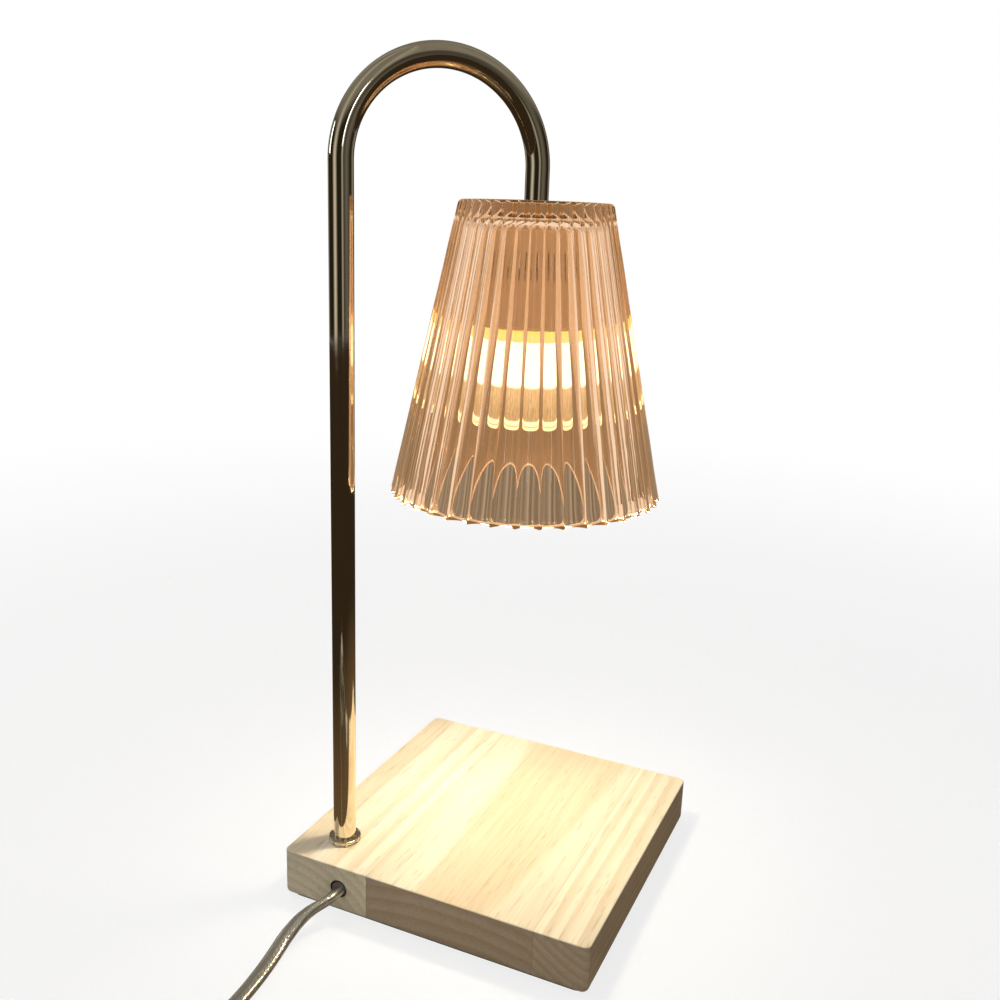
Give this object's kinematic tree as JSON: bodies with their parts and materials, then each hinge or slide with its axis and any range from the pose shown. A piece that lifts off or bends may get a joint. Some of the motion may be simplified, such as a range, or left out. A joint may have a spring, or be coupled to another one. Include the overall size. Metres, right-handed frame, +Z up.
{
  "type": "candle warmer lamp",
  "caption": "Table lamp that melts a candle from above: wooden base, bent tube arm, fluted glass shade round a twist-lock bulb, cord with rotary dimmer.",
  "frame": {"origin": "middle of the square base's underside, on the surface that the lamp stands on", "axes": "+Z up; +X along the board's front edge; the front face, with the cord hole, looks to -Y; the arm crosses the board's diagonal from the -X -Y corner"},
  "size_m": [0.1659, 0.3904, 0.3639],
  "materials": {
    "oiled_hardwood": "edge-glued pale hardwood, oiled, fine open grain along Y",
    "foam": "closed-cell foam sheet, matte",
    "polished_bronze": "polished and lacquered bronze-gold plating, near mirror",
    "zinc_steel": "bright zinc-plated steel",
    "clear_cord": "clear PVC over tinned copper strands, soft gloss",
    "nylon": "natural nylon",
    "silicone_sleeve": "glass-fibre and silicone sleeve",
    "amber_glass": "thick pressed amber glass, fluted outside, polished",
    "silicone": "translucent silicone rubber",
    "holder_brass": "spun metal, warm brass lacquer, satin",
    "ceramic": "glazed off-white steatite ceramic",
    "contact_brass": "spring brass strip",
    "tie_band": "black wire tie, matte",
    "dimmer_plastic": "off-white moulded housing, fine satin texture",
    "circuit_board": "green laminate",
    "control_plastic": "dark moulded body of the rotary control",
    "wheel_plastic": "dark grey knurled wheel",
    "relief_rubber": "soft pale PVC, grooved",
    "plug_plastic": "moulded translucent-white PVC",
    "nickel_brass": "nickel-plated brass",
    "lamp_glass": "pressed lamp glass, mirror-coated inside",
    "lens_glass": "clear front glass",
    "cap_ceramic": "white ceramic cap",
    "capsule_glass": "clear quartz capsule"
  },
  "bodies": {
    "lamp": {"base_board": "oiled_hardwood", "base_pad": "foam", "pole_collar": "polished_bronze", "foot_washer": "zinc_steel", "foot_lock_washer": "zinc_steel", "foot_nut": "zinc_steel", "cord_entry": "clear_cord", "cord_cores": "clear_cord", "splice_sleeves": "nylon", "cord_clamp": "nylon", "clamp_screws": "zinc_steel", "arm_tube": "polished_bronze", "lamp_leads": "silicone_sleeve", "glass_shade": "amber_glass", "top_gasket": "silicone", "top_ring_nut": "polished_bronze", "lower_gasket": "silicone", "holder_cup": "holder_brass", "holder_bracket": "zinc_steel", "bracket_screws": "zinc_steel", "holder_nut": "zinc_steel", "lamp_holder": "ceramic", "holder_contacts": "contact_brass", "cord_feed": "clear_cord", "cord_link": "clear_cord", "cord_coil": "clear_cord", "cord_tail": "clear_cord", "cord_tie": "tie_band", "dimmer_lower_cover": "dimmer_plastic", "dimmer_upper_cover": "dimmer_plastic", "dimmer_screws": "zinc_steel", "dimmer_board": "circuit_board", "dimmer_pot": "control_plastic", "dimmer_reliefs": "relief_rubber", "plug_body": "plug_plastic", "plug_blades": "nickel_brass"},
    "bulb": {"bulb_reflector": "lamp_glass", "bulb_lens": "lens_glass", "bulb_cap": "cap_ceramic", "bulb_pins": "nickel_brass", "bulb_capsule": "capsule_glass"},
    "dimmer_wheel": {"dimmer_wheel": "wheel_plastic"}
  },
  "joints": [
    {"name": "bulb_twist", "type": "hinge", "parent": "lamp", "child": "bulb", "pos_m": [0.00466, 0.00466, 0.25], "axis": [0, 0, -1], "range_deg": [0, 45]},
    {"name": "dimmer_turn", "type": "hinge", "parent": "lamp", "child": "dimmer_wheel", "pos_m": [0.00746, -0.29731, 0.0095], "axis": [0, 0, 1], "range_deg": [0, 270]}
  ]
}
